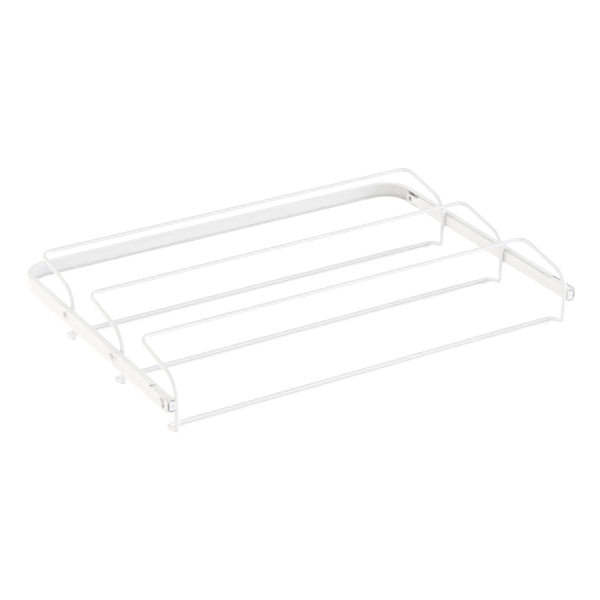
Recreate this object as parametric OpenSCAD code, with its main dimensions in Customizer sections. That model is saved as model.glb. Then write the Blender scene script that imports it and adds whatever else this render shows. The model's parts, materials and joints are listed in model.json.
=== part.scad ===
/* [Frame] */
// Overall width over the outer faces of the two rails
frame_w = 563; // [500:1:640]
// Overall depth from the rails' front ends to the back of the band
frame_d = 395.5; // [380:0.5:460]
// Height of the folded channel
frame_h = 19.5; // [19:0.1:22]
// Height of the channel's underside above the floor
frame_z = 34.1; // [28:0.1:40]
// Steel thickness of the channel
sheet = 1.2; // [1:0.05:1.4]
// Width of the channel's lips, from its outer face
lip = 8.2; // [7.8:0.1:8.4]
// Outer radius of the folds along the channel
fold_r = 1.8; // [1.5:0.1:2.2]
// Outer radius of the band's two back corners
corner_r = 40; // [30:1:50]
// Length of rail whose lips are cut away at the front
lip_cut = 39.5; // [30:0.5:50]
// Radius of the rails' front corners
end_round = 2.5; // [1:0.1:4]

/* [Slides] */
// Thickness of a slide, from the channel's outer face to the runner's face
slide_w = 11.25; // [11.1:0.05:12.5]
// Thickness of the rolled steel of the fixed races
race_t = 1; // [0.9:0.05:1.05]
// Distance from the rail's front end to the race
race_front = 12; // [12:0.5:18]
// Distance from the race's rear end to the start of the back corner
race_rear = 20; // [15:1:30]
// Distance from the runner's rear end to the start of the back corner
runner_rear = 5.5; // [5.2:0.1:9]
// Thickness of the runner's rolled steel
plate_t = 1.2; // [1:0.05:1.3]
// Height of the runner
plate_h = 16.4; // [15.6:0.1:16.4]
// Outer radius of the runner's two long folds
run_fold = 2.5; // [2.2:0.1:2.8]
// Width of the runner's flanges
flange_w = 9.6; // [9.2:0.05:9.65]
// Height of the turned edges of the runner's flanges
turn_h = 3.6; // [3:0.1:3.8]
// Length at the runner's rear end that has no flanges
flange_rear = 24; // [16:1:26]
// Diameter of the bearing balls
ball_d = 3.5; // [3.3:0.05:3.7]
// Distance between two balls in the cage
ball_pitch = 8; // [6:0.5:12]
// Height of the gap that the balls roll in
race_gap = 3.15; // [3:0.05:3.3]
// Thickness of the ball cage
cage_t = 0.7; // [0.6:0.05:0.8]
// Travel of the racks
travel = 260; // [200:1:280]
// Length of the plug in the runner's front end
plug_len = 11; // [8:0.5:11.5]
// Height of the plug
plug_h = 12; // [10:0.1:13]
// Width of the plug
plug_w = 7; // [6:0.1:7]
// Diameter of the hole near the runner's rear end
runner_hole_d = 7; // [5:0.5:8]
// Distance from the runner's rear end to the middle of the hole
runner_hole_in = 6.8; // [6:0.1:9]

/* [Racks] */
// Diameter of the wire
wire_d = 5.5; // [4.5:0.1:6]
// Distance from one rack to the next
rack_pitch = 129.4; // [110:0.1:131]
// Distance from the rail's front end to the front rack's legs
rack_inset = 3.5; // [3:0.1:12]
// Height of the upper bar above the lower bar, centre to centre
rack_rise = 84.1; // [76:0.1:98]
// Height of the shoulders above the lower bar
shoulder_rise = 66.9; // [63:0.1:71]
// Distance from the legs back to the upper bar
arm_run = 86; // [70:0.5:100]
// Distance from the legs back to the lower bar
foot_run = 25; // [20:0.5:30]
// Height of the legs' lower ends above the lower bar
foot_drop = 6.2; // [2:0.1:8]
// Bend radius at the ends of the upper bar
top_bend = 12; // [8:0.5:16]
// Bend radius of the shoulders
shoulder_bend = 25; // [15:0.5:30]
// Bend radius under the legs
foot_bend = 6; // [5:0.5:7]
// Bend radius at the ends of the lower bar
bar_bend = 9; // [7:0.5:11]

/* [Hanging studs] */
// Diameter of a stud's head
head_d = 7; // [6.4:0.1:8]
// Thickness of a stud's head
head_t = 1.6; // [1.2:0.1:2.4]
// Diameter of a stud's neck
neck_d = 4.4; // [4:0.1:4.8]
// Length of a stud's neck
neck_len = 1.8; // [1.5:0.1:3]
// Distance from the rail's front end to the first stud
stud_inset = 11.8; // [11:0.1:13]
// Distance from one stud to the next
stud_pitch = 122.4; // [110:0.1:126]
// Height of the studs above the middle of the channel
stud_up = 3.5; // [2.5:0.1:4]

/* [Hidden] */
$fn = 48;

// Clearances
weld_gap = 0.05;    // a piece to the face that it is welded or pressed to
slide_gap = 0.35;   // between flat faces that slide past each other
ball_gap = 0.2;     // ball to its groove and to its cage
end_gap = 0.3;      // between pieces that meet at the ends of the travel
rivet_gap = 0.05;   // stud to its hole
eps = 1;            // how far a cut runs past the face that it cuts

// Plug in the runner's front end
plug_round = 2.2;
dimple_d = 3;
dimple_depth = 0.8;

// Places along the depth
y_front = -frame_d / 2;
y_back = frame_d / 2;
y_corner = y_back - corner_r;
y_race_front = y_front + race_front;
y_race_rear = y_corner - race_rear;
y_runner = y_corner - runner_rear;
y_flange = y_runner - flange_rear;
y_legs = [for (i = [0:2]) y_front + rack_inset + i * rack_pitch];
y_studs = [for (i = [0:2]) y_front + stud_inset + i * stud_pitch];

// Places across a slide: u runs outwards from the runner's face, at x_face
x_face = frame_w / 2 - slide_w;
u_web = slide_w - sheet;
u_race_out = u_web - weld_gap;
u_cage = plate_t + slide_gap;
u_race = u_cage + cage_t + slide_gap;
ball_in = 1.5;      // balls' centres to the edges of the race
cage_over = 0.6;    // how far the cage runs on past the grooves
groove_r = ball_d / 2 + ball_gap;
u_ball = u_race + ball_in;
u_cage_edge = u_ball + groove_r + cage_over;
u_stop = u_race_out - race_t - 2 * slide_gap;

// Places up and down a slide: v runs up from the middle of the channel, at z_mid
z_mid = frame_z + frame_h / 2;
v_lip = frame_h / 2 - sheet;
v_run = plate_h / 2;
v_track = v_run - plate_t;
v_ball = v_track - race_gap / 2;
v_race = v_track - race_gap;

// Countersunk tail of a stud, flush with the inner face of the channel's web
tail_over = 0.8;
tail_r = neck_d / 2 + tail_over;
tail_deep = 0.9;

// Lugs on the race and tab on the runner that stop the cage, and tab that meets the rear buffer
lug_t = 1.5;
lug_behind = 0.7;
tab_half = 3;
stop_half = 2.4;
y_lug = y_race_front + lug_behind;
y_cage_open = y_lug + lug_t + end_gap;
y_cage = y_cage_open + travel / 2;
cage_len = y_flange - plate_t - travel - end_gap - y_cage_open;
cage_margin = 3.5;
balls = floor((cage_len - 2 * cage_margin) / ball_pitch) + 1;
y_ball = y_cage + (cage_len - (balls - 1) * ball_pitch) / 2;

// Rear buffer, a rubber block on the web of the channel
buffer_w = 5.8;
buffer_h = 10;
buffer_round = 1;

// Relief at the end of the cut lips, pilot hole ahead of the middle stud and slot under the front one
relief_r = 1.5;
relief_out = 0.2;
relief_deep = 2.2;
pilot_d = 2.5;
pilot_ahead = 11;
pilot_up = 5.7;
slot_ahead = 2.8;
slot_w = 3.6;
slot_v = [-5.2, -0.4];

// Outer radii of the folds along the race and the turned edges of the runner
race_fold = 1.4;
turn_fold = 2.8;

// Edge of a stud's head
head_chamfer = 0.3;

// Wire
x_leg = x_face - wire_d / 2 - weld_gap;
bend_thin = 0.02;   // bent wire draws in by this much all round
bar_reach = 0.1;    // how far a straight length runs on inside its bends

function unit(v) = v / norm(v);

// A fold of sheet, turning from straight down to along +X, with its centre at the origin
module fold(r, t) {
    intersection() {
        difference() {
            circle(r);
            circle(r - t);
        }
        translate([-r, 0]) square(r);
    }
}

// A folded C section: its outer face is the Y axis and its lips point along +X
module c_section(height, depth, t, r) {
    translate([0, -height / 2 + r]) square([t, height - 2 * r]);
    for (side = [0, 1]) mirror([0, side]) {
        translate([r, height / 2 - t]) square([depth - r, t]);
        translate([r, height / 2 - r]) fold(r, t);
    }
}

// A rectangle from the Y axis to w, as high above the X axis as below it, with round corners
module round_bar(w, half, r) {
    translate([r, -half]) square([w - 2 * r, 2 * half]);
    translate([0, -half + r]) square([w, 2 * half - 2 * r]);
    for (x = [r, w - r], y = [r - half, half - r]) translate([x, y]) circle(r);
}

// A section drawn in u and v, run along the right-hand slide from y0 to y1
module along_slide(y0, y1) {
    translate([x_face, y1, z_mid]) rotate([90, 0, 0]) linear_extrude(y1 - y0) children();
}

// A piece drawn along +Z, set on the right-hand slide at u, y, v and pointing outwards
module across_slide(u, y, v) {
    translate([x_face + u, y, z_mid + v]) rotate([0, 90, 0]) children();
}

module left_hand() {
    mirror([1, 0, 0]) children();
}

module ball_grooves() {
    for (v = [-v_ball, v_ball]) translate([u_ball, v]) circle(groove_r);
}

module channel_section() {
    mirror([1, 0]) c_section(frame_h, lip, sheet, fold_r);
}

// The runner's section, whose flanges end in turned edges that keep the balls in
module runner_section() {
    c_section(plate_h, flange_w - turn_fold, plate_t, run_fold);
    for (side = [0, 1]) mirror([0, side]) {
        translate([flange_w - turn_fold, v_run - turn_fold]) mirror([1, 0]) fold(turn_fold, plate_t);
        translate([flange_w - plate_t, v_run - turn_h]) square([plate_t, turn_h - turn_fold]);
    }
}

// Stud holes, slot under the front stud and pilot hole ahead of the middle one
module web_holes() {
    for (y = y_studs) {
        across_slide(u_web - eps, y, stud_up) cylinder(d = neck_d + 2 * rivet_gap, h = sheet + 2 * eps);
        across_slide(u_web, y, stud_up)
            cylinder(r1 = tail_r + rivet_gap, r2 = neck_d / 2 + rivet_gap, h = tail_deep);
    }
    translate([x_face + u_web - eps, y_studs[0] - slot_ahead - slot_w / 2, z_mid + slot_v[0]])
        cube([sheet + 2 * eps, slot_w, slot_v[1] - slot_v[0]]);
    across_slide(u_web - eps, y_studs[1] - pilot_ahead, pilot_up)
        cylinder(d = pilot_d, h = sheet + 2 * eps);
}

// What a round corner takes off the lower front corner of a web whose edge is at the height z
module corner_cut(z) {
    translate([x_face + u_web - eps, y_front, z]) rotate([90, 0, 90]) linear_extrude(sheet + 2 * eps)
        difference() {
            translate([-eps, -eps]) square(end_round + eps);
            translate([end_round, end_round]) circle(end_round);
        }
}

// One straight rail of the band, with its lips cut away at the front
module rail() {
    x_cut = x_face + u_web;
    difference() {
        along_slide(y_front, y_corner) translate([slide_w, 0]) channel_section();
        translate([x_cut - lip, y_front - eps, frame_z - eps])
            cube([lip, lip_cut + eps, frame_h + 2 * eps]);
        for (side = [0, 1]) translate([0, 0, z_mid]) mirror([0, 0, side]) {
            translate([x_cut - eps, y_front - eps, v_lip])
                cube([sheet + 2 * eps, lip_cut + eps, sheet + eps]);
            translate([x_cut + relief_out, y_front + lip_cut, frame_h / 2 - relief_deep])
                cylinder(r = relief_r, h = relief_deep + eps);
            corner_cut(-v_lip);
        }
        web_holes();
    }
}

module corner() {
    translate([frame_w / 2 - corner_r, y_corner, z_mid])
        rotate_extrude(angle = 90) translate([corner_r, 0]) channel_section();
}

module frame_band() color("white") {
    for (side = [0, 1]) mirror([side, 0, 0]) {
        rail();
        corner();
    }
    translate([corner_r - frame_w / 2, y_back, z_mid]) rotate([90, 0, 90])
        linear_extrude(frame_w - 2 * corner_r) channel_section();
}

// The race on the web of the channel, with the ball tracks along its flanges
module right_outer_race() color("whitesmoke") {
    along_slide(y_race_front, y_race_rear) difference() {
        translate([u_race_out, 0]) mirror([1, 0])
            c_section(2 * v_race, u_race_out - u_race, race_t, race_fold);
        ball_grooves();
    }
    for (side = [0, 1]) translate([x_face, y_lug, z_mid]) mirror([0, 0, side])
        translate([u_ball, 0, v_race - race_t / 2])
            cube([u_cage_edge - u_ball, lug_t, v_track - slide_gap - v_race + race_t / 2]);
}

// A headed stud, riveted through the web of the right-hand channel
module stud(y) color("white") {
    across_slide(u_web, y, stud_up) {
        cylinder(r1 = tail_r, r2 = neck_d / 2, h = tail_deep);
        cylinder(d = neck_d, h = sheet + neck_len);
    }
    across_slide(slide_w + neck_len, y, stud_up) {
        cylinder(d = head_d, h = head_t - head_chamfer);
        translate([0, 0, head_t - head_chamfer])
            cylinder(d1 = head_d, d2 = head_d - 2 * head_chamfer, h = head_chamfer);
    }
}

module right_front_stud() stud(y_studs[0]);
module right_middle_stud() stud(y_studs[1]);
module right_rear_stud() stud(y_studs[2]);

module right_rear_buffer() color("gainsboro") {
    along_slide(y_runner + end_gap, y_corner) translate([u_web, 0]) mirror([1, 0])
        round_bar(buffer_w, buffer_h / 2, buffer_round);
}

module right_ball_cage() color("silver") {
    difference() {
        along_slide(y_cage, y_cage + cage_len) {
            translate([u_cage, -v_ball - cage_t / 2]) square([cage_t, 2 * v_ball + cage_t]);
            for (v = [-v_ball, v_ball]) translate([u_cage, v - cage_t / 2])
                square([u_cage_edge - u_cage, cage_t]);
        }
        for (i = [0:balls - 1])
            translate([x_face + u_ball, y_ball + i * ball_pitch, z_mid - v_ball - eps])
                cylinder(r = groove_r, h = 2 * v_ball + 2 * eps);
    }
}

module right_balls() color("lightsteelblue") {
    for (i = [0:balls - 1], v = [-v_ball, v_ball])
        translate([x_face + u_ball, y_ball + i * ball_pitch, z_mid + v]) sphere(d = ball_d);
}

module right_runner() color("whitesmoke") {
    difference() {
        union() {
            along_slide(y_front, y_flange) difference() {
                runner_section();
                ball_grooves();
            }
            along_slide(y_flange - plate_t, y_runner) translate([0, run_fold - v_run])
                square([plate_t, 2 * (v_run - run_fold)]);
            along_slide(y_flange - plate_t, y_flange) translate([plate_t / 2, -tab_half])
                square([u_cage + cage_t - plate_t / 2, 2 * tab_half]);
            along_slide(y_runner - plate_t, y_runner) translate([plate_t / 2, -stop_half])
                square([u_stop - plate_t / 2, 2 * stop_half]);
        }
        across_slide(-eps, y_runner - runner_hole_in, 0)
            cylinder(d = runner_hole_d, h = plate_t + 2 * eps);
    }
}

module right_runner_plug() color("ghostwhite") {
    u_plug = plate_t + weld_gap;
    difference() {
        along_slide(y_front, y_front + plug_len) translate([u_plug, 0])
            round_bar(plug_w, plug_h / 2, plug_round);
        translate([x_face + u_plug + plug_w / 2, y_front - eps, z_mid]) rotate([-90, 0, 0])
            cylinder(d = dimple_d, h = eps + dimple_depth);
    }
}

module left_outer_race() left_hand() right_outer_race();
module left_front_stud() left_hand() right_front_stud();
module left_middle_stud() left_hand() right_middle_stud();
module left_rear_stud() left_hand() right_rear_stud();
module left_rear_buffer() left_hand() right_rear_buffer();
module left_ball_cage() left_hand() right_ball_cage();
module left_balls() left_hand() right_balls();
module left_runner() left_hand() right_runner();
module left_runner_plug() left_hand() right_runner_plug();

// A bar of round wire from a to b
module wire_bar(a, b) {
    d = b - a;
    translate(a) rotate([0, acos(d[2] / norm(d)), atan2(d[1], d[0])])
        cylinder(d = wire_d, h = norm(d));
}

// A bend of round wire from a to b, with its centre at c
module wire_bend(c, a, b) {
    x = unit((a + b) / 2 - c);
    z = unit(cross(a - c, b - c));
    y = cross(z, x);
    turn = 2 * acos(unit(a - c) * x);
    translate(c) rotate([atan2(y[2], z[2]), asin(-x[2]), atan2(x[1], x[0])])
        rotate([0, 0, -turn / 2]) rotate_extrude(angle = turn)
            translate([norm(a - c), 0]) circle(d = wire_d - 2 * bend_thin);
}

// Round wire in a closed loop through the points, each corner bent to its own radius
module wire_loop(points, radii) {
    n = len(points);
    into = [for (i = [0:n - 1]) unit(points[i] - points[(i + n - 1) % n])];
    out = [for (i = [0:n - 1]) into[(i + 1) % n]];
    bend = [for (i = [0:n - 1]) acos(into[i] * out[i])];
    start = [for (i = [0:n - 1]) points[i] - radii[i] * tan(bend[i] / 2) * into[i]];
    end = [for (i = [0:n - 1]) points[i] + radii[i] * tan(bend[i] / 2) * out[i]];
    for (i = [0:n - 1]) {
        wire_bar(end[(i + n - 1) % n] - bar_reach * into[i], start[i] + bar_reach * into[i]);
        wire_bend(points[i] + unit(out[i] - into[i]) * radii[i] / cos(bend[i] / 2), start[i], end[i]);
    }
}

module rack(y) color("white") {
    z_low = wire_d / 2;
    half = [
        [x_leg, y + arm_run, z_low + rack_rise], [x_leg, y, z_low + shoulder_rise],
        [x_leg, y, z_low + foot_drop], [x_leg, y + foot_run, z_low]
    ];
    radii = [top_bend, shoulder_bend, foot_bend, bar_bend];
    back = [3:-1:0];
    wire_loop(
        concat(half, [for (i = back) [-half[i][0], half[i][1], half[i][2]]]),
        concat(radii, [for (i = back) radii[i]])
    );
}

module front_rack() rack(y_legs[0]);
module middle_rack() rack(y_legs[1]);
module rear_rack() rack(y_legs[2]);

frame_band();
left_outer_race();
right_outer_race();
left_front_stud();
left_middle_stud();
left_rear_stud();
right_front_stud();
right_middle_stud();
right_rear_stud();
left_rear_buffer();
right_rear_buffer();
left_ball_cage();
right_ball_cage();
left_balls();
right_balls();
left_runner();
right_runner();
left_runner_plug();
right_runner_plug();
front_rack();
middle_rack();
rear_rack();
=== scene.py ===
import json
import math

import bmesh
import bpy
from mathutils import Matrix, Vector


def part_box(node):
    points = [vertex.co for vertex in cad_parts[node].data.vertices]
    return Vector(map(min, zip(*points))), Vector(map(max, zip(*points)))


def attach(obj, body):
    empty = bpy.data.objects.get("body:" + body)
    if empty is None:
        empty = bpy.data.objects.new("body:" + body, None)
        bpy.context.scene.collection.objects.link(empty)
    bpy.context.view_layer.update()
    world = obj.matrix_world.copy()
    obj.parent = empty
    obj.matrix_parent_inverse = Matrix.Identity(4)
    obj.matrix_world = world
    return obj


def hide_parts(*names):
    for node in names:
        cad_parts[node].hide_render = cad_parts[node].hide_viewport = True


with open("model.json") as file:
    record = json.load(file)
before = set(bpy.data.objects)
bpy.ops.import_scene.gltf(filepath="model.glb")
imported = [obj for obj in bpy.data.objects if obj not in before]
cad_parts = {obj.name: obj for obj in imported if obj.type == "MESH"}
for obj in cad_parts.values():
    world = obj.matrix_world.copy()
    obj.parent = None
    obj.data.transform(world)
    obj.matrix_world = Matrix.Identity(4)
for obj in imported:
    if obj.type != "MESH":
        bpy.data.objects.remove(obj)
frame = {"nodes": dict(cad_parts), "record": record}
for starter in ("Cube", "Light", "Camera"):    # what a new file opens with
    if starter in bpy.data.objects:
        bpy.data.objects.remove(bpy.data.objects[starter])
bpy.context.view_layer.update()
scene = bpy.context.scene
nodeSlots = {p["node"]: p["material_slot"] for p in frame["record"]["subparts"]}
nodeBodies = {n: b for b, nodes in frame["record"]["behaviour"]["bodies"].items() for n in nodes}
rackNodes = ("front_rack", "middle_rack", "rear_rack")
white = (1.0, 1.0, 1.0, 1.0)


# Shader and geometry trees, written as expressions

class Signal:
    def __init__(self, graph, socket):
        self.graph = graph
        self.socket = socket

    def maths(self, operation, first, second):
        return self.graph.add("ShaderNodeMath", {"operation": operation}, {0: first, 1: second})

    def __add__(self, other):
        return self.maths("ADD", self, other)

    def __radd__(self, other):
        return self.maths("ADD", other, self)

    def __sub__(self, other):
        return self.maths("SUBTRACT", self, other)

    def __rsub__(self, other):
        return self.maths("SUBTRACT", other, self)

    def __mul__(self, other):
        return self.maths("MULTIPLY", self, other)

    def __rmul__(self, other):
        return self.maths("MULTIPLY", other, self)


class Graph:
    def __init__(self, tree):
        self.tree = tree

    def add(self, kind, settings=None, inputs=None, out=0):
        node = self.tree.nodes.new(kind)
        settings = dict(settings or {})
        stops = settings.pop("stops", ())
        for name, value in settings.items():
            setattr(node, name, value)
        for i, (position, shade) in enumerate(stops):      # a new ramp already has two
            node.color_ramp.elements[i].position = position
            node.color_ramp.elements[i].color = (shade, shade, shade, 1.0)
        for name, value in (inputs or {}).items():
            socket = node.inputs[name]
            if isinstance(value, Signal):
                self.tree.links.new(value.socket, socket)
            else:
                socket.default_value = value
        return Signal(self, node.outputs[out]) if node.outputs else None


# Finishes: sizes and depths in metres

def newPaint(name):
    material = bpy.data.materials.new(name)
    material.use_nodes = True
    material.node_tree.nodes.clear()
    return material, Graph(material.node_tree)


def closePaint(graph, **inputs):
    sockets = {name.replace("_", " "): value for name, value in inputs.items()}
    surface = graph.add("ShaderNodeBsdfPrincipled", {}, sockets)
    graph.add("ShaderNodeOutputMaterial", {}, {"Surface": surface})


def place(graph, stretch=(1.0, 1.0, 1.0)):
    where = graph.add("ShaderNodeTexCoord", out="Object")
    return graph.add("ShaderNodeMapping", {}, {"Vector": where, "Scale": stretch})


def grain(graph, vector, size, detail, rough=0.5):
    return graph.add("ShaderNodeTexNoise", {}, {
        "Vector": vector, "Scale": 1.0 / size, "Detail": detail, "Roughness": rough}, "Fac")


def ramp(graph, value, limits):                # black below the limits, white above
    stops = ((limits[0], 0.0), (limits[1], 1.0))
    return graph.add("ShaderNodeValToRGB", {"stops": stops}, {"Fac": value})


def blendColours(graph, factor, first, second):
    return graph.add("ShaderNodeMix", {"data_type": "RGBA"}, {0: factor, 6: first, 7: second}, 2)


def bump(graph, height, distance):
    return graph.add("ShaderNodeBump", {}, {
        "Height": height, "Distance": distance, "Strength": 1.0})


coat = {                                       # baked powder coat
    "full": (0.865, 0.865, 0.865, 1.0),        # where the coat is thick
    "thin": (0.80, 0.80, 0.79, 1.0),           # on edges and folds, where it runs thin
    "edgeShare": 0.6,                          # how much of the thin colour each of these brings
    "cloudShare": 0.25,
    "speckShare": 0.35,
    "roughness": 0.42,
    "edgePolish": 0.05,
    "cloudRough": 0.1,
    "speckRough": 0.16,
    "ior": 1.5,
    "peelSize": 0.0011,                        # orange peel, from crest to crest
    "peelDepth": 0.000012,
    "peelScale": 1.0,                          # finer on small pieces
    "speckSize": 0.00022,
    "speckLimits": (0.70, 0.76),
    "speckHeight": 0.15,                       # of the peel's
    "cloudSize": 0.09,
}
slideCoat = dict(coat, cloudShare=0.35, peelScale=0.8)
studCoat = dict(coat, cloudShare=0.2, peelScale=0.6)
wireCoat = dict(coat, full=(0.83, 0.83, 0.834, 1.0), thin=(0.78, 0.78, 0.775, 1.0),
                roughness=0.40, cloudShare=0.3, peelScale=0.7)


def powderCoat(name, sizes):
    material, graph = newPaint(name)
    where = place(graph)
    cloud = grain(graph, where, sizes["cloudSize"], 3.0)
    crests = grain(graph, where, sizes["peelSize"] * sizes["peelScale"], 2.0)
    specks = grain(graph, where, sizes["speckSize"], 1.0)
    edge = graph.add("ShaderNodeAttribute", {"attribute_name": "edgeWear"}, out="Fac")
    spots = ramp(graph, specks, sizes["speckLimits"])
    wear = (edge * sizes["edgeShare"] + cloud * sizes["cloudShare"]
            + spots * sizes["speckShare"])
    roughness = (sizes["roughness"] + (specks - 0.5) * sizes["speckRough"]
                 + (cloud - 0.5) * sizes["cloudRough"] - edge * sizes["edgePolish"])
    peel = crests + specks * sizes["speckHeight"]
    closePaint(graph, Base_Color=blendColours(graph, wear, sizes["full"], sizes["thin"]),
               Roughness=roughness, IOR=sizes["ior"],
               Normal=bump(graph, peel, sizes["peelDepth"] * sizes["peelScale"]))
    return material


plastic = {                                    # moulded plug
    "colour": (0.84, 0.84, 0.86, 1.0),
    "sink": (0.79, 0.79, 0.815, 1.0),          # where it flowed and cooled last
    "sinkShare": 0.8,
    "roughness": 0.5,
    "sparkRough": 0.2,
    "flowRough": 0.12,
    "ior": 1.46,
    "sparkSize": 0.00018,                      # texture that the mould leaves
    "sparkDepth": 0.000006,
    "flowSize": 0.004,
}


def mouldedPlastic(name, sizes):
    material, graph = newPaint(name)
    where = place(graph)
    spark = grain(graph, where, sizes["sparkSize"], 3.0)
    flow = grain(graph, where, sizes["flowSize"], 2.0)
    roughness = (sizes["roughness"] + (spark - 0.5) * sizes["sparkRough"]
                 + (flow - 0.5) * sizes["flowRough"])
    sink = flow * sizes["sinkShare"]
    closePaint(graph, Base_Color=blendColours(graph, sink, sizes["colour"], sizes["sink"]),
               Roughness=roughness, IOR=sizes["ior"],
               Normal=bump(graph, spark, sizes["sparkDepth"]))
    return material


rubber = {                                     # buffer block
    "colour": (0.60, 0.60, 0.58, 1.0),
    "bloom": (0.70, 0.70, 0.69, 1.0),          # pale film on old rubber
    "bloomSize": 0.00315,
    "bloomLimits": (0.42, 0.62),
    "roughness": 0.72,
    "grainRough": 0.2,
    "ior": 1.5,
    "grainSize": 0.00035,
    "grainDepth": 0.000018,
}


def softRubber(name, sizes):
    material, graph = newPaint(name)
    where = place(graph)
    fine = grain(graph, where, sizes["grainSize"], 3.0, 0.6)
    film = ramp(graph, grain(graph, where, sizes["bloomSize"], 3.0), sizes["bloomLimits"])
    closePaint(graph, Base_Color=blendColours(graph, film, sizes["colour"], sizes["bloom"]),
               Roughness=sizes["roughness"] + (fine - 0.5) * sizes["grainRough"],
               IOR=sizes["ior"], Normal=bump(graph, fine, sizes["grainDepth"]))
    return material


zinc = {                                       # rolled strip of the ball cages
    "colour": (0.62, 0.62, 0.61, 1.0),
    "dull": (0.50, 0.50, 0.48, 1.0),
    "stainSize": 0.006,
    "stainLimits": (0.45, 0.65),
    "roughness": 0.36,
    "lineRough": 0.25,
    "stainRough": 0.08,
    "lineWidth": 0.00012,                      # rolling marks, across and along
    "lineLength": 0.012,
    "lineDepth": 0.000002,
}


def rolledZinc(name, sizes):
    material, graph = newPaint(name)
    along = place(graph, (1.0, sizes["lineWidth"] / sizes["lineLength"], 1.0))
    lines = grain(graph, along, sizes["lineWidth"], 2.0)
    stain = ramp(graph, grain(graph, place(graph), sizes["stainSize"], 3.0),
                 sizes["stainLimits"])
    roughness = (sizes["roughness"] + (lines - 0.5) * sizes["lineRough"]
                 + stain * sizes["stainRough"])
    closePaint(graph, Base_Color=blendColours(graph, stain, sizes["colour"], sizes["dull"]),
               Metallic=1.0, Roughness=roughness,
               Normal=bump(graph, lines, sizes["lineDepth"]))
    return material


steel = {                                      # bearing balls
    "colour": (0.74, 0.74, 0.75, 1.0),
    "greased": (0.58, 0.57, 0.54, 1.0),
    "roughness": 0.12,
    "smearRough": 0.18,
    "smearSize": 0.0011,
    "smearLimits": (0.40, 0.70),
    "smearDepth": 0.000001,
}


def polishedSteel(name, sizes):
    material, graph = newPaint(name)
    smear = ramp(graph, grain(graph, place(graph), sizes["smearSize"], 3.0),
                 sizes["smearLimits"])
    closePaint(graph, Base_Color=blendColours(graph, smear, sizes["colour"], sizes["greased"]),
               Metallic=1.0, Roughness=sizes["roughness"] + smear * sizes["smearRough"],
               Normal=bump(graph, smear, sizes["smearDepth"]))
    return material


finishes = {
    "frame_coat": powderCoat("frameCoat", coat),
    "slide_coat": powderCoat("slideCoat", slideCoat),
    "stud_coat": powderCoat("studCoat", studCoat),
    "wire_coat": powderCoat("wireCoat", wireCoat),
    "plug_plastic": mouldedPlastic("plugPlastic", plastic),
    "buffer_rubber": softRubber("bufferRubber", rubber),
    "cage_steel": rolledZinc("cageSteel", zinc),
    "ball_steel": polishedSteel("ballSteel", steel),
}
for name, item in frame["nodes"].items():
    for holder in item.material_slots:
        holder.material = finishes[nodeSlots[name]]
print("finishes made:", len(finishes))


# Pieces that take the place of CAD nodes, and pieces that are added to a body

def linked(name, mesh):
    piece = bpy.data.objects.new(name, mesh)
    scene.collection.objects.link(piece)
    return piece


def bakedShape(piece):
    depsgraph = bpy.context.evaluated_depsgraph_get()
    shape = bpy.data.meshes.new_from_object(
        piece.evaluated_get(depsgraph), preserve_all_data_layers=True, depsgraph=depsgraph)
    piece.modifiers.clear()
    piece.data = shape
    return shape


def standFor(piece, node):
    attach(piece, nodeBodies[node])
    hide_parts(node)


edges = {                                      # metres: how far the coat rounds sharp edges
    "frame_band": 0.0001,
    "left_outer_race": 0.0001, "right_outer_race": 0.0001,
    "left_runner": 0.0001, "right_runner": 0.0001,
    "left_runner_plug": 0.0001, "right_runner_plug": 0.0001,
    "left_front_stud": 0.0002, "left_middle_stud": 0.0002, "left_rear_stud": 0.0002,
    "right_front_stud": 0.0002, "right_middle_stud": 0.0002, "right_rear_stud": 0.0002,
    "left_rear_buffer": 0.0002, "right_rear_buffer": 0.0002,
}
coating = {
    "mergeDistance": 0.000002,                 # metres
    "flatAngle": 0.5,                          # degrees: faces that turn less are joined
    "sharpAngle": 25.0,                        # degrees of turn from which an edge is sharp
    "steps": 2,
    "flatWeight": 100,                         # how far wide faces rule the shading
}


def coatedShape(node, radius):
    finish = finishes[nodeSlots[node]]
    mesh = frame["nodes"][node].data.copy()
    work = bmesh.new()
    work.from_mesh(mesh)
    bmesh.ops.remove_doubles(work, verts=work.verts, dist=coating["mergeDistance"])
    bmesh.ops.dissolve_limit(work, angle_limit=math.radians(coating["flatAngle"]),
                             verts=work.verts, edges=work.edges)
    for face in work.faces:
        face.smooth = True
        face.material_index = 0
    work.to_mesh(mesh)
    work.free()
    mesh.materials.clear()
    mesh.materials.append(finish)
    mesh.materials.append(finish)              # the second marks the rounded edges
    piece = linked(node + "_coated", mesh)
    rounding = piece.modifiers.new("rounding", "BEVEL")
    rounding.width = radius
    rounding.segments = coating["steps"]
    rounding.limit_method = "ANGLE"
    rounding.angle_limit = math.radians(coating["sharpAngle"])
    rounding.use_clamp_overlap = False
    rounding.material = 1
    levelling = piece.modifiers.new("levelling", "WEIGHTED_NORMAL")
    levelling.weight = coating["flatWeight"]
    levelling.keep_sharp = True
    shape = bakedShape(piece)
    wear = shape.attributes.new("edgeWear", "FLOAT", "FACE")
    for polygon in shape.polygons:
        wear.data[polygon.index].value = float(polygon.material_index)
        polygon.material_index = 0
    shape.materials.pop(index=1)
    standFor(piece, node)


for node, radius in edges.items():
    coatedShape(node, radius)
print("coated pieces made:", len(edges))


# Geometry trees

def newTree(name, sockets):
    tree = bpy.data.node_groups.new(name, "GeometryNodeTree")
    interface = tree.interface
    interface.new_socket(name="Geometry", in_out="INPUT", socket_type="NodeSocketGeometry")
    for label, kind in sockets.items():
        interface.new_socket(name=label, in_out="INPUT", socket_type="NodeSocket" + kind)
    interface.new_socket(name="Geometry", in_out="OUTPUT", socket_type="NodeSocketGeometry")
    return tree, Graph(tree)


def given(graph, label):
    return graph.add("NodeGroupInput", out=label)


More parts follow.
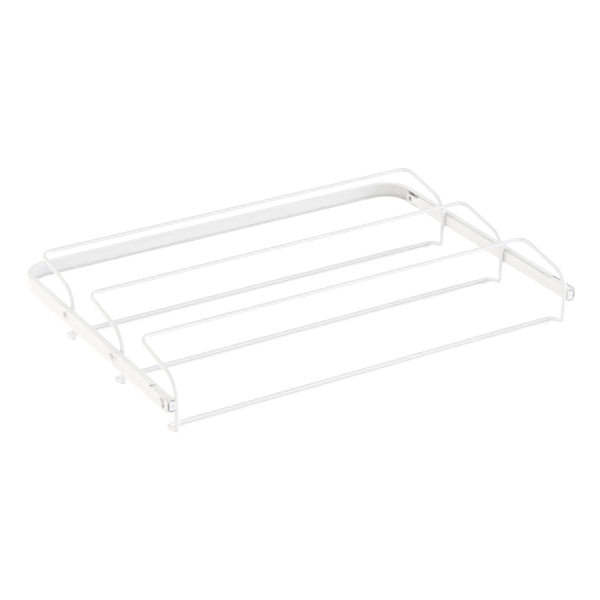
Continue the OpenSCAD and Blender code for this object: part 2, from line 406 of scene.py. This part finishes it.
def closeTree(graph, geometry):
    smooth = graph.add("GeometryNodeSetShadeSmooth", {}, {"Geometry": geometry})
    real = graph.add("GeometryNodeRealizeInstances", {}, {"Geometry": smooth})
    painted = graph.add("GeometryNodeSetMaterial", {}, {
        "Geometry": real, "Material": given(graph, "Material")})
    graph.add("NodeGroupOutput", {}, {"Geometry": painted})


def grown(name, points, links, tree, values, attribute=None):
    mesh = bpy.data.meshes.new(name)
    mesh.from_pydata(points, links, [])
    if attribute:
        label, numbers = attribute
        mesh.attributes.new(label, "FLOAT", "POINT").data.foreach_set("value", numbers)
    piece = linked(name, mesh)
    growth = piece.modifiers.new("growth", "NODES")
    growth.node_group = tree
    for item in tree.interface.items_tree:
        if item.in_out == "INPUT" and item.name in values:
            growth[item.identifier] = values[item.name]
    bakedShape(piece)
    return piece


wire = {                                       # metres, the values of the part's source
    "thickness": 0.0055,
    "upperRise": 0.0841,                       # upper bar above the lower one
    "shoulderRise": 0.0669,
    "armRun": 0.086,                           # legs to the upper bar
    "footRun": 0.025,                          # legs to the lower bar
    "footDrop": 0.0062,                        # how far the feet slope down to it
    "bends": (0.012, 0.025, 0.006, 0.009),     # upper bar, shoulder, leg's end, lower bar
    "bendSteps": 11,
    "sides": 28,
}


def wireTree():
    tree, graph = newTree("wireLoop", {
        "Thickness": "Float", "Sides": "Int", "Bend Steps": "Int", "Material": "Material"})
    path = graph.add("GeometryNodeMeshToCurve", {}, {"Mesh": given(graph, "Geometry")})
    radius = graph.add("GeometryNodeInputNamedAttribute", {"data_type": "FLOAT"}, {
        "Name": "bend"})
    bent = graph.add("GeometryNodeFilletCurve", {"mode": "POLY"}, {
        "Curve": path, "Count": given(graph, "Bend Steps"), "Radius": radius})
    outline = graph.add("GeometryNodeCurvePrimitiveCircle", {}, {
        "Resolution": given(graph, "Sides"), "Radius": given(graph, "Thickness") * 0.5})
    swept = graph.add("GeometryNodeCurveToMesh", {}, {
        "Curve": bent, "Profile Curve": outline})
    closeTree(graph, swept)
    return tree


def wireLoops():
    tree = wireTree()
    half = wire["thickness"] / 2
    bends = wire["bends"] + wire["bends"][::-1]
    for node in rackNodes:
        low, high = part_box(node)
        xLeg, yLeg, zLow = high[0] - half, low[1] + half, low[2] + half
        corners = [(yLeg + wire["armRun"], zLow + wire["upperRise"]),
                   (yLeg, zLow + wire["shoulderRise"]),
                   (yLeg, zLow + wire["footDrop"]),
                   (yLeg + wire["footRun"], zLow)]
        points = [(xLeg, y, z) for y, z in corners]
        points += [(-xLeg, y, z) for y, z in reversed(corners)]
        links = [(i, (i + 1) % len(points)) for i in range(len(points))]
        piece = grown(node + "_wire", points, links, tree, {
            "Thickness": wire["thickness"], "Sides": wire["sides"],
            "Bend Steps": wire["bendSteps"], "Material": finishes["wire_coat"]},
            ("bend", bends))
        standFor(piece, node)


wireLoops()
print("wire loops made:", len(rackNodes))


def beadTree():
    tree, graph = newTree("beads", {
        "Segments": "Int", "Rings": "Int", "Half Sizes": "Vector", "Material": "Material"})
    ball = graph.add("GeometryNodeMeshUVSphere", {}, {
        "Segments": given(graph, "Segments"), "Rings": given(graph, "Rings"), "Radius": 1.0})
    beads = graph.add("GeometryNodeInstanceOnPoints", {}, {
        "Points": given(graph, "Geometry"), "Instance": ball,
        "Scale": given(graph, "Half Sizes")})
    closeTree(graph, beads)
    return tree


weld = {                                       # metres
    "halfSizes": (0.00055, 0.0009, 0.0022),    # of a bead: across, along the slide, upwards
    "fromLeg": 0.0017,                         # bead's middle to the middle of the leg
    "fromMiddle": 0.0034,                      # up and down from the middle of the slide
    "segments": 16,
    "rings": 10,
}


def legWelds(tree):
    low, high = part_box("right_runner")
    faceX, midZ = low[0], (low[2] + high[2]) / 2
    points = []
    for node in rackNodes:
        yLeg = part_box(node)[0][1] + wire["thickness"] / 2
        for side in (-1, 1):
            points += [(side * faceX, yLeg + along * weld["fromLeg"],
                        midZ + up * weld["fromMiddle"])
                       for along in (-1, 1) for up in (-1, 1)]
    piece = grown("leg_welds", points, [], tree, {
        "Segments": weld["segments"], "Rings": weld["rings"],
        "Half Sizes": weld["halfSizes"], "Material": finishes["wire_coat"]})
    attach(piece, "tray")


balls = {                                      # metres, the values of the part's source
    "diameter": 0.0035,
    "pitch": 0.008,
    "segments": 24,
    "rings": 14,
}


def ballRows(node, tree):
    low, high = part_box(node)
    radius = balls["diameter"] / 2
    x = (low[0] + high[0]) / 2
    perRow = round((high[1] - low[1] - balls["diameter"]) / balls["pitch"]) + 1
    points = [(x, low[1] + radius + i * balls["pitch"], z)
              for i in range(perRow) for z in (low[2] + radius, high[2] - radius)]
    piece = grown(node + "_polished", points, [], tree, {
        "Segments": balls["segments"], "Rings": balls["rings"],
        "Half Sizes": (radius, radius, radius), "Material": finishes["ball_steel"]})
    standFor(piece, node)


beadShapes = beadTree()
legWelds(beadShapes)
for node in ("left_balls", "right_balls"):
    ballRows(node, beadShapes)
print("welds and balls made")


# Floor, light and camera

def seenRays(graph):
    rays = [graph.add("ShaderNodeLightPath", out=label)
            for label in ("Is Camera Ray", "Is Glossy Ray", "Is Transmission Ray")]
    return rays[0] + rays[1] + rays[2]


ground = {                                     # metres
    "size": 14.0,
    "drop": 0.0002,                            # keeps it clear of the lower bars
    "shade": 0.87,
    "glow": 0.28,                              # only seen: it lights nothing
}


def makeFloor():
    half = ground["size"] / 2
    corners = [(x * half, y * half, 0) for x, y in ((-1, -1), (1, -1), (1, 1), (-1, 1))]
    mesh = bpy.data.meshes.new("floor")
    mesh.from_pydata(corners, [], [(0, 1, 2, 3)])
    floor = linked("floor", mesh)
    floor.location.z = -ground["drop"]
    material, graph = newPaint("floorWhite")
    shade = ground["shade"]
    diffuse = graph.add("ShaderNodeBsdfDiffuse", {}, {"Color": (shade, shade, shade, 1.0)})
    glow = graph.add("ShaderNodeEmission", {}, {
        "Color": white, "Strength": seenRays(graph) * ground["glow"]})
    both = graph.add("ShaderNodeAddShader", {}, {0: diffuse, 1: glow})
    graph.add("ShaderNodeOutputMaterial", {}, {"Surface": both})
    mesh.materials.append(material)


room = {
    "glow": 1.12,                              # light from all round
    "colour": (1.0, 0.99, 0.97, 1.0),
    "overheadGlow": 0.47,                      # less of it from straight above
    "overheadEdge": (0.42, 0.87),              # sines of the heights where it falls off
}


def makeWorld():
    world = bpy.data.worlds.new("studio")
    world.use_nodes = True
    world.node_tree.nodes.clear()
    graph = Graph(world.node_tree)
    way = graph.add("ShaderNodeTexCoord", out="Generated")
    height = graph.add("ShaderNodeSeparateXYZ", {}, {"Vector": way}, "Z")
    low, high = room["overheadEdge"]
    strength = graph.add("ShaderNodeMapRange", {"interpolation_type": "SMOOTHSTEP"}, {
        "Value": height, "From Min": low, "From Max": high,
        "To Min": room["glow"], "To Max": room["overheadGlow"]})
    light = graph.add("ShaderNodeBackground", {}, {
        "Color": room["colour"], "Strength": strength})
    backdrop = graph.add("ShaderNodeBackground", {}, {"Color": white, "Strength": 1.0})
    both = graph.add("ShaderNodeMixShader", {}, {0: seenRays(graph), 1: light, 2: backdrop})
    graph.add("ShaderNodeOutputWorld", {}, {"Surface": both})
    scene.world = world


def towards(around, up):                       # degrees round from the front and up
    around, up = math.radians(around), math.radians(up)
    reach = math.cos(up)
    return Vector((math.sin(around) * reach, -math.cos(around) * reach, math.sin(up)))


lamps = {                                      # degrees round and up, watts, colour
    "left": (-112, 18, 8.3, (1.0, 0.95, 0.78)),
    "front": (0, 8, 17.3, (0.95, 0.98, 1.0)),
    "right": (75, 12, 45.0, (0.82, 0.82, 1.0)),
    "rearLeft": (-150, 30, 20.5, (0.97, 0.97, 1.0)),
}
lampSize = 2.2                                 # metres
lampDistance = 3.0


def makeLamps():
    for name, (around, up, power, colour) in lamps.items():
        lamp = bpy.data.lights.new(name, "AREA")
        lamp.shape = "DISK"
        lamp.size = lampSize
        lamp.energy = power
        lamp.color = colour
        holder = linked(name, lamp)
        holder.location = towards(around, up) * lampDistance
        holder.rotation_mode = "QUATERNION"
        holder.rotation_quaternion = (-holder.location).to_track_quat("-Z", "Y")


shot = {
    "azimuth": -31.5508,                       # degrees round from the front
    "elevation": 26.2219,
    "roll": 0.5811,
    "sensor": 36.0,                            # millimetres
    "lens": 127.209,
    "place": (-1.22002, -2.00250, 1.17632),
}


def makeCamera():
    ahead = -towards(shot["azimuth"], shot["elevation"])
    roll = math.radians(shot["roll"])
    level = ahead.cross(Vector((0, 0, 1))).normalized()
    above = level.cross(ahead)
    right = level * math.cos(roll) + above * math.sin(roll)
    top = above * math.cos(roll) - level * math.sin(roll)
    turn = Matrix((right, top, -ahead)).transposed().to_4x4()
    camera = linked("camera", bpy.data.cameras.new("camera"))
    camera.data.lens = shot["lens"]
    camera.data.sensor_width = shot["sensor"]
    camera.matrix_world = Matrix.Translation(shot["place"]) @ turn
    scene.camera = camera


makeFloor()
makeWorld()
makeLamps()
makeCamera()
scene.view_settings.view_transform = "Standard"
print("stage, lamps and camera set")
